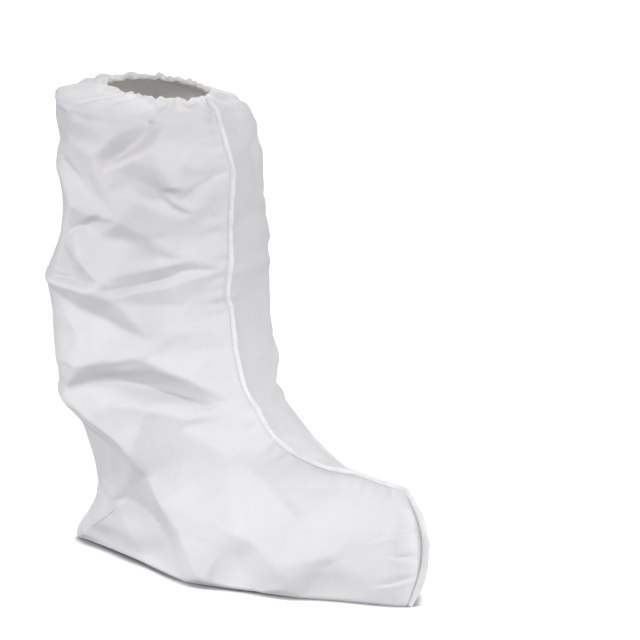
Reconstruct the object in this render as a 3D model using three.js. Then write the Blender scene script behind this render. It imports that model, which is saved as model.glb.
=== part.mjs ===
// A tall boot-style shoe cover of white nonwoven cloth, standing on its flat sole.
// Two mirror-cut side panels are joined by a standing seam down the shin, over the instep and
// round the toe end, and an elasticated hem gathers the mouth. Each panel is one soft wall.
// Millimetres. +X points to the toe, +Y to the wearer's left, +Z up; the sole lies on Z = 0.

import * as THREE from 'three';

// ---- Driving dimensions -------------------------------------------------------------------
const WALL = 1.2;             // thickness of a panel's cloth wall
const SEAM_GAP = 0.3;         // clearance between touching pieces
const SEAM_REACH = 5;         // how far the standing seam stands out
const SEAM_THICKNESS = 1.6;   // two layers of seam allowance
const SEAM_WAVE = 0.5;        // sideways waviness of the standing seam
const SEAM_WAVE_TURN = 0.9;   // radians of the wave for each row
const SEAM_SWELL_TURN = 0.37; // radians for each row of the slower swell that varies the wave
const HEM_HEIGHT = 7;         // height of the elastic casing round the mouth
const HEM_THICKNESS = 2.4;
const HEM_SCALLOP = 1.3;      // how far each hem gather bulges
const HEM_GATHERS = 26;       // bulges round the hem
const HEM_RISE = 0.4;         // how far the hem's top rises over a bulge, as a share of the bulge
const HEM_DRIFT = 0.8;        // radians by which the bulges drift from even spacing
const HEM_DRIFT_TURN = 0.31;  // radians of that drift for each step round the hem
const RIGHT = -1;             // side factors on Y
const LEFT = 1;

// ---- Sections, from the rim down to the toe end ----------------------------------------------
// A section is a slanting loop through the cover. It runs from the front seam (front) to the back
// or sole line (back). w1 to w4 are its half widths at the four DEPTHS of the way back, for the
// right and the left side, and bow pushes its middle toward the toe.
const DEPTHS = [0, 0.1, 0.4, 0.78, 0.97, 1];
const TOE_TWIST = 25;         // how far the sole end of the toe seam lies toward the right
const TWIST_START = 106;      // X where the sole line begins to curve over
const TWIST_END = 193;
const TOE_HEIGHT = 102;
const BACK_FLAT = 0.97;       // from this depth on, a section's back or sole is flat
const SECTIONS = table(
  ['name', 'frontX', 'frontZ', 'backX', 'backZ', 'bow',
    'rightW1', 'rightW2', 'rightW3', 'rightW4', 'leftW1', 'leftW2', 'leftW3', 'leftW4'],
  [
    ['rim', -57, 444, -166, 448, 0, 23, 37, 30, 5, 27, 35, 31, 5],
    ['shoulder', -47, 440, -187, 450, 0, 52, 82, 82, 42, 58, 74, 70, 20],
    ['shoulder_under', -42, 428, -189, 441, 0, 56, 87, 85, 46, 74, 79, 73, 26],
    ['upper_calf', -29, 385, -190, 396, 0, 58, 90, 86, 45, 70, 84, 76, 30],
    ['calf', -30, 325, -187, 330, 0, 58, 91, 86, 44, 83, 93, 82, 38],
    ['calf_bulge', -30, 288, -198, 280, 0, 59, 94, 90, 55, 93, 95, 85, 43],
    ['lower_calf', -31, 255, -196, 242, 0, 60, 95, 92, 55, 96, 95, 85, 43],
    ['shin', -26, 215, -188, 190, 0, 58, 95, 91, 56, 94, 94, 81, 38],
    ['pouch', -22, 200, -191, 161, 0, 55, 90, 87, 50, 93, 93, 74, 36],
    ['ankle', -16, 180, -180, 112, 0, 50, 82, 64, 18, 88, 90, 62, 26],
    ['heel_tuck', -9, 167, -184, 48, 6, 46, 76, 48, 6, 84, 87, 58, 16],
    ['heel', 1, 155, -203, 0, 12, 42, 68, 44, 0, 88, 89, 56, 0],
    ['arch', 18, 133, -112, 0, 6, 34, 68, 62, 46, 83, 86, 70, 50],
    ['instep', 44, 118, -30, 0, 0, 30, 64, 78, 74, 73, 80, 78, 72],
    ['midfoot', 80, 110, 50, 0, 0, 26, 56, 70, 70, 60, 71, 74, 68],
    ['ball', 118, 109, 106, 0, 0, 22, 46, 56, 56, 46, 59, 64, 58],
    ['toe_root', 150, 104, 158, 0, 4, 17, 34, 38, 30, 27, 38, 41, 38],
    ['toe_cap', 165, 103, 184, 0, 11, 9, 19, 20, 12, 8, 16, 21, 18],
    ['toe_end', 173, 102, 193, 0, 14, 0, 0, 0, 0, 0, 0, 0, 0],
  ],
);

// ---- Folds ------------------------------------------------------------------------------------
// Each fold line is drawn on the side elevation through three points (x, z). Above it, on its
// left, the cloth stands out by lift and fades over above; below it the cloth drops to -sink
// within edge and fades over below. fadeIn and fadeOut are the shares of its length at its ends
// over which it dies away.
const FOLD_COLUMNS = ['name', 'x0', 'z0', 'x1', 'z1', 'x2', 'z2', 'lift', 'sink', 'above', 'below',
  'edge', 'fadeIn', 'fadeOut'];
const RIGHT_FOLDS = table(FOLD_COLUMNS, [
  ['rim_valley', -72, 452, -84, 420, -120, 392, -7, 7, 26, 22, 0, 0.02, 0.5],
  ['rim_tuck', -98, 400, -60, 372, -28, 344, 3, 6, 16, 20, 4, 0.35, 0.3],
  ['flap_edge', -68, 414, -60, 392, -50, 372, 2, 3, 14, 14, 2, 0.4, 0.2],
  ['back_crease', -162, 420, -134, 384, -110, 361, 3, 6, 20, 24, 3, 0.2, 0.5],
  ['side_crease', -160, 321, -128, 336, -94, 356, 2, 3, 16, 22, 2, 0.4, 0.5],
  ['calf_valley', -108, 350, -82, 343, -58, 322, 2, 5, 12, 20, 4, 0.3, 0.4],
  ['mid_tuck', -110, 278, -70, 288, -30, 312, 3, 5, 16, 30, 4, 0.35, 0.2],
  ['deep_valley', -196, 292, -118, 280, -66, 234, 4, 12, 16, 60, 12, 0, 0.45],
  ['shin_valley', -76, 283, -52, 276, -28, 266, -3, 3, 18, 22, 0, 0.4, 0.3],
  ['ankle_fold', -150, 184, -52, 204, -10, 162, 4, 6, 26, 34, 10, 0.45, 0.1],
  ['ankle_ridge', -170, 160, -88, 176, -30, 152, 5, 0, 14, 18, 0, 0.1, 0.4],
  ['heel_fold', -176, 152, -106, 138, -58, 90, 6, 14, 30, 34, 12, 0.05, 0.2],
  ['heel_fold_low', -70, 112, -48, 76, -20, 34, 5, 8, 26, 24, 8, 0.25, 0.3],
  ['heel_facet', -182, 44, -108, 62, -32, 36, -6, 3, 18, 22, 4, 0.1, 0.3],
  ['arch_crease', 2, 58, 52, 48, 112, 13, 4, 5, 22, 24, 6, 0.3, 0.4],
  ['instep_crease', 36, 95, 76, 103, 128, 100, -2, 1, 10, 16, 2, 0.4, 0.4],
]);
const LEFT_FOLDS = table(FOLD_COLUMNS, [
  ['rim_valley', -60, 452, -72, 420, -92, 380, -6, 6, 22, 22, 0, 0.02, 0.5],
  ['side_crease', -130, 360, -90, 350, -66, 330, 3, 4, 18, 22, 3, 0.4, 0.3],
  ['deep_valley', -190, 280, -130, 262, -70, 214, 4, 10, 16, 50, 10, 0.1, 0.4],
  ['ankle_fold', -150, 186, -60, 200, -12, 166, 4, 6, 26, 34, 10, 0.45, 0.1],
  ['heel_fold', -176, 150, -106, 132, -58, 84, 5, 12, 30, 34, 12, 0.1, 0.3],
  ['arch_crease', 2, 58, 52, 46, 112, 13, 3, 4, 22, 24, 6, 0.3, 0.4],
]);
const FOLD_STEPS = 12;        // straight steps that a fold line is measured along
const SHARPEST_EDGE = 20;     // narrowest drop beside a fold that the mesh steps can carry
const ROUNDING = 0.6;         // how far neighbouring places even out a fold's height

// ---- Gathers below the hem --------------------------------------------------------------------
// Each side has the same ridges. place is the share of the way round from the front seam, height how
// far a ridge stands out at the rim, run how far down it reaches, and lean how far round it drifts.
const GATHERS = table(['place', 'height', 'run', 'lean'], [
  [0.056, 3.7, 34, 0],
  [0.189, 3.1, 38, -0.005],
  [0.245, 0.9, 26, 0.009],
  [0.415, 2.1, 46, -0.014],
  [0.494, 4, 19, 0.018],
  [0.593, 2.3, 51, -0.021],
  [0.754, 0.8, 16, 0.025],
  [0.804, 2.9, 52, -0.027],
  [0.956, 3.8, 17, 0.029],
]);
const GATHER_WIDTH = 0.035;   // half width, as a share of the way round
const GATHER_FALL = 1.5;      // how quickly a ridge dies away down its run

const EDGE_FADE = 0.08;       // share of a panel beside a seam where folds die away
const TOE_FADE = 0.03;        // the same at the toe end
const RIM_FADE = 0.02;        // the same at the rim

// ---- Mesh steps -------------------------------------------------------------------------------
const ROWS = 56;              // steps from the rim down to the toe end, the same for every piece
const RIGHT_COLUMNS = 26;     // steps from the front seam round to the back or sole line
const LEFT_COLUMNS = 14;
const LOOP_STEPS = 80;        // steps that a section's outline is measured in
const TOE_STEPS = 12;         // steps of the standing seam along the toe end
const HEM_STEPS = 88;
// The hem's section: across is -1 at its inner face and 1 at its outer one, up is 0 to 1.
const HEM_PROFILE = table(['across', 'up'], [
  [0, 0],
  [1, 0.15],
  [1, 0.85],
  [0.3, 1],
  [-0.3, 1],
  [-1, 0.85],
  [-1, 0.15],
]);

// ---- Helpers ----------------------------------------------------------------------------------
function table(columns, rows) {
  return rows.map((row) => Object.fromEntries(columns.map((name, k) => [name, row[k]])));
}

function smooth(t) {
  const s = THREE.MathUtils.clamp(t, 0, 1);
  return s * s * (3 - 2 * s);
}

function dieAway(t) {
  const s = THREE.MathUtils.clamp(t, 0, 1);
  return (1 - s) * (1 - s);
}

// A smooth curve through equally spaced values, read at t from 0 to their count less one.
function through(values, t) {
  const last = values.length - 1;
  const i = Math.min(Math.floor(THREE.MathUtils.clamp(t, 0, last)), last - 1);
  const f = THREE.MathUtils.clamp(t, 0, last) - i;
  const before = values[Math.max(i - 1, 0)];
  const a = values[i];
  const b = values[i + 1];
  const after = values[Math.min(i + 2, last)];
  return 0.5 * (2 * a + (b - before) * f + (2 * before - 5 * a + 4 * b - after) * f * f
    + (3 * a - before - 3 * b + after) * f * f * f);
}

// Where each section lies on the way down, 0 at the rim and 1 at the toe end.
function sectionPlaces() {
  const places = [0];
  for (let k = 1; k < SECTIONS.length; k += 1) {
    const a = SECTIONS[k - 1];
    const b = SECTIONS[k];
    const front = Math.hypot(b.frontX - a.frontX, b.frontZ - a.frontZ);
    const back = Math.hypot(b.backX - a.backX, b.backZ - a.backZ);
    places.push(places[k - 1] + (front + back) / 2);
  }
  return places.map((place) => place / places[places.length - 1]);
}
const PLACES = sectionPlaces();

// The section at any place on the way down, blended from the table.
function sectionAt(down) {
  let k = 0;
  while (k < PLACES.length - 2 && down > PLACES[k + 1]) k += 1;
  const t = k + (down - PLACES[k]) / (PLACES[k + 1] - PLACES[k]);
  const blended = {};
  Object.keys(SECTIONS[0]).filter((name) => name !== 'name').forEach((name) => {
    blended[name] = through(SECTIONS.map((section) => section[name]), t);
  });
  blended.backZ = Math.max(blended.backZ, 0);
  return blended;
}

// The Y of the seam plane, which curves toward the right at the bottom of the toe.
function seamY(x, z) {
  const out = Math.max((x - TWIST_START) / (TWIST_END - TWIST_START), 0);
  const low = THREE.MathUtils.clamp(1 - z / TOE_HEIGHT, 0, 1);
  return -TOE_TWIST * out * out * low * low;
}

// One half of a section's outline, front seam to back line, at equal steps along its length.
function halfLoop(down, side, count) {
  const s = sectionAt(down);
  const key = side === RIGHT ? 'right' : 'left';
  const widths = [0, s[`${key}W1`], s[`${key}W2`], s[`${key}W3`], s[`${key}W4`], 0];
  const points = [];
  const lengths = [0];
  for (let k = 0; k <= LOOP_STEPS; k += 1) {
    const t = (k / LOOP_STEPS) * (DEPTHS.length - 1);
    const depth = Math.min(through(DEPTHS, t) / BACK_FLAT, 1);
    const width = Math.max(through(widths, t), 0);
    const x = s.frontX + (s.backX - s.frontX) * depth + s.bow * Math.sin(Math.PI * depth);
    const z = s.frontZ + (s.backZ - s.frontZ) * depth;
    points.push(new THREE.Vector3(x, side * width + seamY(x, z), z));
    if (k > 0) lengths.push(lengths[k - 1] + points[k].distanceTo(points[k - 1]));
  }
  const loop = [];
  let k = 0;
  for (let j = 0; j <= count; j += 1) {
    const wanted = (lengths[LOOP_STEPS] * j) / count;
    while (k < LOOP_STEPS - 1 && lengths[k + 1] < wanted) k += 1;
    const f = (wanted - lengths[k]) / (lengths[k + 1] - lengths[k]);
    loop.push(points[k].clone().lerp(points[k + 1], THREE.MathUtils.clamp(f, 0, 1)));
  }
  return loop;
}

// How far one fold pushes the cloth out at a place on the side elevation.
function foldHeight(fold, x, z) {
  const start = new THREE.Vector2(fold.x0, fold.z0);
  const end = new THREE.Vector2(fold.x2, fold.z2);
  const middle = new THREE.Vector2(fold.x1, fold.z1);
  const control = middle.clone().multiplyScalar(2).sub(start.clone().add(end).multiplyScalar(0.5));
  const line = new THREE.QuadraticBezierCurve(start, control, end).getPoints(FOLD_STEPS);
  let total = 0;
  const reached = [0];
  for (let k = 0; k < FOLD_STEPS; k += 1) {
    total += line[k].distanceTo(line[k + 1]);
    reached.push(total);
  }
  let nearest = Infinity;
  let offset = 0;
  let along = 0;
  for (let k = 0; k < FOLD_STEPS; k += 1) {
    const step = line[k + 1].clone().sub(line[k]);
    const from = new THREE.Vector2(x, z).sub(line[k]);
    const f = THREE.MathUtils.clamp(from.dot(step) / step.lengthSq(), 0, 1);
    const away = from.clone().sub(step.clone().multiplyScalar(f));
    const distance = away.length();
    if (distance < nearest) {
      nearest = distance;
      offset = step.x * away.y - step.y * away.x >= 0 ? distance : -distance;
      along = (reached[k] + f * (reached[k + 1] - reached[k])) / total;
    }
  }
  const ends = (fold.fadeIn ? smooth(along / fold.fadeIn) : 1)
    * (fold.fadeOut ? smooth((1 - along) / fold.fadeOut) : 1);
  if (offset >= 0) return ends * fold.lift * dieAway(offset / fold.above);
  const edge = fold.edge ? Math.max(fold.edge, SHARPEST_EDGE) : 0;
  if (-offset < edge) return ends * (fold.lift - (fold.lift + fold.sink) * smooth(-offset / edge));
  const floor = edge || fold.lift <= 0 ? -fold.sink : fold.lift;
  return ends * floor * dieAway((-offset - edge) / fold.below);
}

// How far the gathers below the hem push the cloth out; drop is the distance below the rim.
function gatherHeight(around, drop) {
  let height = 0;
  GATHERS.forEach((ridge) => {
    const q = THREE.MathUtils.clamp(drop / ridge.run, 0, 1);
    const off = (around - ridge.place - ridge.lean * q) / GATHER_WIDTH;
    height += ridge.height * Math.exp(-off * off) * (1 - q) ** GATHER_FALL;
  });
  return height;
}

// Outward unit normals of a grid of points.
function gridNormals(grid, side) {
  const rows = grid.length - 1;
  const columns = grid[0].length - 1;
  return grid.map((row, i) => row.map((_, j) => {
    const downward = grid[Math.min(i + 1, rows)][j].clone().sub(grid[Math.max(i - 1, 0)][j]);
    const around = row[Math.min(j + 1, columns)].clone().sub(row[Math.max(j - 1, 0)]);
    return downward.cross(around).multiplyScalar(side).normalize();
  }));
}

// ---- Panels -----------------------------------------------------------------------------------
function panelGrid(side, columns, folds) {
  const base = [];
  for (let i = 0; i <= ROWS; i += 1) base.push(halfLoop(i / ROWS, side, columns));
  const normals = gridNormals(base, side);
  const heights = rounded(base.map((row, i) => row.map((point, j) => {
    const around = j / columns;
    const down = i / ROWS;
    let height = gatherHeight(around, base[0][j].z - point.z);
    folds.forEach((fold) => { height += foldHeight(fold, point.x, point.z); });
    height *= smooth(Math.min(around, 1 - around) / EDGE_FADE);
    return height * smooth((1 - down) / TOE_FADE) * smooth(down / RIM_FADE);
  })));
  return base.map((row, i) => row.map((point, j) => {
    const moved = point.clone().addScaledVector(normals[i][j], heights[i][j]);
    moved.z = Math.max(moved.z, 0);
    return moved;
  }));
}

// The same heights with each one inside the grid averaged with its neighbours, as stiff cloth
// rounds its folds.
function rounded(heights) {
  const last = heights.length - 1;
  return heights.map((row, i) => row.map((height, j) => {
    if (i === 0 || i === last || j === 0 || j === row.length - 1) return height;
    const beside = row[j - 1] + row[j + 1] + heights[i - 1][j] + heights[i + 1][j];
    return height * (1 - ROUNDING) + (beside / 4) * ROUNDING;
  }));
}

// A closed wall: the outer grid, the same grid set in by the wall's thickness, and its four rims.
function wallGeometry(outer, side) {
  const rows = outer.length;
  const columns = outer[0].length;
  const normals = gridNormals(outer, side);
  const half = SEAM_GAP / 2;
  const inner = outer.map((row, i) => row.map((p, j) => {
    const moved = p.clone().addScaledVector(normals[i][j], -WALL);
    moved.z = Math.max(moved.z, WALL);
    return moved;
  }));
  const positions = [];
  outer.flat().concat(inner.flat()).forEach((p) => {
    const seam = seamY(p.x, p.z);
    const y = side === RIGHT ? Math.min(p.y, seam - half) : Math.max(p.y, seam + half);
    positions.push(p.x, y, p.z);
  });
  const at = (layer, i, j) => layer * rows * columns + i * columns + j;
  const faces = [];
  const quad = (a, b, c, d) => {
    if (side === LEFT) faces.push(a, b, c, a, c, d);
    else faces.push(a, c, b, a, d, c);
  };
  const end = columns - 1;
  for (let i = 0; i < rows - 1; i += 1) {
    for (let j = 0; j < end; j += 1) {
      quad(at(0, i, j), at(0, i + 1, j), at(0, i + 1, j + 1), at(0, i, j + 1));
      quad(at(1, i, j), at(1, i, j + 1), at(1, i + 1, j + 1), at(1, i + 1, j));
    }
    quad(at(0, i, 0), at(1, i, 0), at(1, i + 1, 0), at(0, i + 1, 0));
    quad(at(0, i, end), at(0, i + 1, end), at(1, i + 1, end), at(1, i, end));
  }
  for (let j = 0; j < end; j += 1) {
    quad(at(0, 0, j), at(0, 0, j + 1), at(1, 0, j + 1), at(1, 0, j));
    quad(at(0, rows - 1, j), at(1, rows - 1, j), at(1, rows - 1, j + 1), at(0, rows - 1, j + 1));
  }
  return indexed(positions, faces);
}

function indexed(positions, faces) {
  const geometry = new THREE.BufferGeometry();
  geometry.setAttribute('position', new THREE.Float32BufferAttribute(positions, 3));
  geometry.setIndex(faces);
  geometry.computeVertexNormals();
  return geometry;
}

// ---- Front seam -------------------------------------------------------------------------------
// The seam line: down the front of every section, then along the toe end to the sole.
function seamLine() {
  const points = [];
  for (let i = 0; i < ROWS; i += 1) points.push(halfLoop(i / ROWS, RIGHT, 1)[0]);
  return points.concat(halfLoop(1, RIGHT, TOE_STEPS));
}

function frontSeam() {
  const line = seamLine();
  const last = line.length - 1;
  const positions = [];
  const faces = [];
  line.forEach((point, i) => {
    const along = line[Math.min(i + 1, last)].clone().sub(line[Math.max(i - 1, 0)]).normalize();
    const out = new THREE.Vector3(0, -1, 0).cross(along).normalize();
    const across = along.clone().cross(out).normalize();
    const wave = SEAM_WAVE * Math.sin(SEAM_WAVE_TURN * i) * Math.sin(SEAM_SWELL_TURN * i + 1);
    [[SEAM_GAP, -1], [SEAM_GAP, 1], [SEAM_REACH, 1], [SEAM_REACH, -1]].forEach(([reach, hand]) => {
      const sideways = (hand * SEAM_THICKNESS) / 2 + wave * (reach / SEAM_REACH);
      const p = point.clone().addScaledVector(out, reach).addScaledVector(across, sideways);
      positions.push(p.x, p.y, Math.max(p.z, 0));
    });
    for (let k = 0; k < 4 && i < last; k += 1) {
      const a = 4 * i + k;
      const b = 4 * i + ((k + 1) % 4);
      faces.push(a, b + 4, b, a, a + 4, b + 4);
    }
  });
  const end = 4 * last;
  faces.push(0, 1, 2, 0, 2, 3, end, end + 2, end + 1, end, end + 3, end + 2);
  return indexed(positions, faces);
}

// ---- Top hem ----------------------------------------------------------------------------------
// A narrow gathered casing standing on the rim: a rounded upright section carried round the mouth.
function topHem() {
  const half = HEM_STEPS / 2;
  const right = halfLoop(0, RIGHT, half);
  const left = halfLoop(0, LEFT, half);
  const rim = right.slice(0, half).concat(left.slice(1).reverse());
  const count = rim.length;
  const centre = rim.reduce((sum, p) => sum.add(p), new THREE.Vector3()).divideScalar(count);
  const sides = HEM_PROFILE.length;
  const positions = [];
  const faces = [];
  rim.forEach((p, i) => {
    const before = rim[(i + count - 1) % count];
    const after = rim[(i + 1) % count];
    const out = after.clone().sub(before).cross(new THREE.Vector3(0, 0, 1)).setZ(0).normalize();
    if (out.dot(p.clone().sub(centre)) < 0) out.negate();
    const turn = (i / count) * HEM_GATHERS * 2 * Math.PI;
    const bulge = HEM_SCALLOP * Math.sin(turn + HEM_DRIFT * Math.sin(HEM_DRIFT_TURN * i));
    HEM_PROFILE.forEach(({ across, up }) => {
      const q = p.clone().addScaledVector(out, ((across - 1) * HEM_THICKNESS) / 2 + bulge * up);
      positions.push(q.x, q.y, p.z + SEAM_GAP + up * (HEM_HEIGHT + HEM_RISE * bulge));
    });
    for (let k = 0; k < sides; k += 1) {
      const next = (k + 1) % sides;
      const a = sides * i;
      const b = sides * ((i + 1) % count);
      faces.push(a + k, a + next, b + next, a + k, b + next, b + k);
    }
  });
  return indexed(positions, faces);
}

// ---- Materials and assembly -------------------------------------------------------------------
function cloth(color, roughness) {
  return new THREE.MeshStandardMaterial({ color, roughness, metalness: 0 });
}

function piece(name, geometry, material) {
  const mesh = new THREE.Mesh(geometry, material);
  mesh.name = name;
  return mesh;
}

const cover = new THREE.Group();
const rightWall = wallGeometry(panelGrid(RIGHT, RIGHT_COLUMNS, RIGHT_FOLDS), RIGHT);
const leftWall = wallGeometry(panelGrid(LEFT, LEFT_COLUMNS, LEFT_FOLDS), LEFT);
cover.add(piece('right_panel', rightWall, cloth(0xe9e9ee, 0.72)));
cover.add(piece('left_panel', leftWall, cloth(0xe6e6ec, 0.72)));
cover.add(piece('front_seam', frontSeam(), cloth(0xf1efec, 0.68)));
cover.add(piece('top_hem', topHem(), cloth(0xe4e3e4, 0.75)));

export default cover;
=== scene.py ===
# A tall boot-style shoe cover in white nonwoven cloth: two side panels, the standing seam that
# joins them down the shin, over the foot and round the toe, and a gathered elastic hem.
# Metres; the tables are in millimetres. +X is the toe, +Y the wearer's left, +Z up.

import math

import bpy
import numpy as np
from mathutils import Matrix, Vector
from mathutils.geometry import delaunay_2d_cdt


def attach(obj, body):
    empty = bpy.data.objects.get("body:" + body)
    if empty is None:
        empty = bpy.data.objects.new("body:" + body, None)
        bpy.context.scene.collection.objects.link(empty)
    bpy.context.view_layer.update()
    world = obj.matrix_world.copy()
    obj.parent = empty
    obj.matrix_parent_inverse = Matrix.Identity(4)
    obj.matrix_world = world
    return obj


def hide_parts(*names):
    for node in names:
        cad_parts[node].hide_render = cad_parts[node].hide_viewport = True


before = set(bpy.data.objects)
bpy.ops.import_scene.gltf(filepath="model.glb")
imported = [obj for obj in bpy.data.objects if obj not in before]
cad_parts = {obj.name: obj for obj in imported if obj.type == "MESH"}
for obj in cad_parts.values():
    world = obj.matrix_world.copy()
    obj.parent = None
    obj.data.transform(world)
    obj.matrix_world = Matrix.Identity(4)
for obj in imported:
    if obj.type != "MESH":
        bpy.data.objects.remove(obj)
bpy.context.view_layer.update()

MM = 0.001
TINY = 1e-6                   # in place of nothing, where a number is divided by it
VERY_TINY = 1e-9
RIGHT = -1                    # side factors on Y
LEFT = 1

# ---- Sections, from the rim down to the toe end ----------------------------------------------
# A section is a slanting loop through the cover, from the front seam to the back or sole line.
# The four widths are its half widths at the four inner DEPTHS of the way back.
DEPTHS = (0, 0.1, 0.4, 0.78, 0.97, 1)
BACK_FLAT = 0.97              # from this depth on, a section's back or sole is flat
SECTION_STEPS = 120           # steps round a section, before they are evened
SECTIONS = {
    # name: front x, z, back x, z, bow, right widths, left widths
    "rim": (-57, 446, -168, 451, 0, (23, 37, 30, 5), (25, 38, 31, 5)),
    "shoulder": (-47, 440, -187, 450, 0, (52, 82, 82, 42), (58, 74, 70, 20)),
    "shoulder_under": (-42, 428, -189, 441, 0, (56, 87, 85, 46), (74, 79, 73, 26)),
    "upper_calf": (-29, 385, -190, 396, 0, (58, 90, 86, 45), (70, 84, 76, 30)),
    "calf": (-30, 325, -187, 330, 0, (58, 90, 85, 44), (84, 94, 82, 38)),
    "calf_bulge": (-30, 288, -198, 280, 0, (59, 93, 89, 55), (95, 97, 85, 43)),
    "lower_calf": (-31, 255, -196, 242, 0, (60, 94, 91, 55), (98, 97, 85, 43)),
    "shin": (-26, 215, -188, 190, 0, (58, 94, 90, 56), (96, 96, 81, 38)),
    "pouch": (-22, 200, -191, 161, 0, (55, 89, 86, 50), (94, 95, 74, 36)),
    "ankle": (-16, 180, -180, 112, 0, (50, 82, 64, 18), (88, 90, 62, 26)),
    "heel_tuck": (-9, 167, -184, 48, 6, (46, 76, 48, 12), (84, 87, 58, 16)),
    "heel": (1, 155, -203, 0, 12, (42, 68, 44, 7), (88, 89, 56, 0)),
    "arch": (18, 133, -112, 0, 6, (34, 68, 62, 46), (83, 86, 70, 50)),
    "instep": (44, 118, -30, 0, 0, (30, 64, 78, 74), (73, 80, 78, 72)),
    "midfoot": (80, 110, 50, 0, 0, (26, 56, 70, 70), (60, 71, 74, 68)),
    "ball": (118, 109, 106, 0, 0, (22, 46, 56, 56), (46, 59, 64, 58)),
    "toe_root": (150, 104, 158, 0, 4, (17, 34, 38, 30), (27, 38, 41, 38)),
    "toe_cap": (165, 103, 184, 0, 11, (9, 19, 20, 12), (8, 16, 21, 18)),
    "toe_end": (173, 102, 193, 0, 14, (0, 0, 0, 0), (0, 0, 0, 0)),
}
# How much lower the left side lies than its section, half way round.
LEFT_DROP = {"rim": -2, "shoulder": 9, "shoulder_under": 7}
TOE_TWIST = 25                # how far the sole end of the toe seam lies toward the right
TWIST_START = 106             # x where the twist begins, and where it is whole
TWIST_END = 193
TOE_HEIGHT = 102              # height at which the seam turns down the toe end

# ---- Folds ------------------------------------------------------------------------------------
# The large folds are flat facets between creases. Each crease is drawn on the side elevation
# through points (x, z, height), height being how far the cloth stands out from its smooth form.
RIGHT_RELIEF = {
    "rim_crest": ((-78, 446, 1), (-82, 436, 3), (-98, 419, 4), (-115, 403, 2)),
    "rim_valley": ((-66, 446, -1), (-67, 432, -3), (-85, 412, -5), (-110, 395, -2)),
    "above_patch": ((-58, 428, 1), (-64, 419, 2)),
    "patch_top": ((-98, 392, -1), (-81, 403, 2), (-68, 411, 4)),
    "flap": ((-68, 411, 4), (-59, 393, 4), (-52, 376, 3)),
    "patch_foot": ((-98, 392, -1), (-75, 382, -4), (-56, 372, -5)),
    "tail": ((-56, 372, -5), (-44, 361, -2), (-38, 347, 0)),
    "flap_right": ((-44, 397, 2), (-42, 374, 1)),
    "patch_ledge": ((-101, 370, 1), (-76, 365, 2.5), (-57, 354, 2)),
    "left_valley": ((-149, 410, -1), (-128, 377, -4), (-110, 361, -1)),
    "left_facet": ((-170, 385, 1), (-145, 353, 2)),
    "left_valley_side": ((-112, 384, 1.5),),
    "calf_ridge": ((-118, 346, 2), (-88, 344, 3.5), (-64, 328, 2)),
    "calf_under": ((-112, 326, -2), (-86, 325, -3), (-64, 311, -1)),
    "side_crease": ((-180, 316, 0), (-159, 318, 0), (-136, 333, -2), (-119, 341, -2)),
    "facet_ridge": ((-137, 329, 3), (-127, 302, 5), (-105, 283, 4)),
    "facet_foot": ((-200, 284, 0), (-176, 281, -3), (-148, 281, -7), (-126, 279, -4)),
    "deep_crest": ((-201, 277, 2), (-177, 274, 2), (-146, 274, 1), (-120, 274, 3), (-95, 268, 4),
                   (-67, 233, 0)),
    "deep_foot": ((-201, 268, 1), (-177, 262, -3), (-141, 252, -8), (-111, 248, -8),
                  (-85, 238, -4), (-67, 233, 0)),
    "below_deep": ((-97, 224, -1), (-137, 228, -3), (-150, 201, 0)),
    "mid_above": ((-85, 294, 2), (-55, 302, 2), (-40, 305, 1)),
    "mid_line": ((-105, 283, 4), (-81, 283, -2), (-52, 288, -3), (-40, 294, -3)),
    "mid_ledge": ((-78, 277, 1), (-52, 281, 1.5), (-40, 287, 1)),
    "mid_hollow": ((-74, 264, -2), (-52, 262, -3), (-42, 261, -2.5)),
    "mid_below": ((-64, 238, 0), (-48, 235, 1), (-40, 234, 0)),
    "ankle_top": ((-178, 196, 0), (-135, 197, 1), (-109, 208, 3), (-67, 214, 4), (-38, 192, 4),
                  (-14, 166, 1)),
    "ankle_valley": ((-198, 172, -2), (-160, 170, -3), (-133, 178, -6), (-99, 183, -7), (-64, 182, -8),
                     (-38, 171, -6), (-14, 166, 1)),
    "ankle_ledge": ((-102, 166, 2), (-66, 164, 3), (-35, 155, 2)),
    "heel_crest": ((-186, 158, 2), (-162, 159, 2), (-136, 147, 4), (-102, 135, 5), (-81, 121, 6),
                   (-69, 102, 6), (-51, 74, 5), (-28, 48, 3), (-15, 30, 2), (-6, 10, 1)),
    "heel_under": ((-184, 146, 0), (-149, 139, 0), (-114, 125, 0), (-92, 109, 0), (-79, 92, -1),
                   (-62, 66, -1), (-38, 41, 0), (-25, 25, 0)),
    "heel_valley": ((-190, 66, -4), (-160, 60, -6), (-136, 58, -8), (-112, 62, -9), (-86, 58, -8),
                    (-61, 40, -5), (-39, 22, -2)),
    "heel_low": ((-191, 7, -1), (-151, 4, -3), (-93, 4, -3), (-53, 3, -2)),
    "arch_crest": ((12, 59, 1), (48, 49, 4), (74, 30, 4), (89, 14, 2)),
    "arch_under": ((5, 37, -1), (31, 29, -3), (57, 13, -2)),
    "foot_side": ((-41, 145, 1), (0, 118, 0), (88, 71, 0), (122, 41, 0)),
    "back_line": ((-170, 450, 0), (-198, 402, 0), (-198, 380, 1), (-198, 352, 1), (-198, 320, 1),
                  (-200, 284, 0), (-201, 277, 2), (-201, 268, 1), (-201, 240, 0), (-198, 205, 1),
                  (-198, 172, -2), (-186, 158, 2), (-183, 142, -1), (-190, 66, -4), (-198, 30, -3),
                  (-208, 0, -1)),
    "sole_line": ((-208, 0, -1), (-112, -1, -2), (-30, -1, 0), (50, -1, -1), (100, -1, 0), (200, -1, 0)),
}
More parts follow.
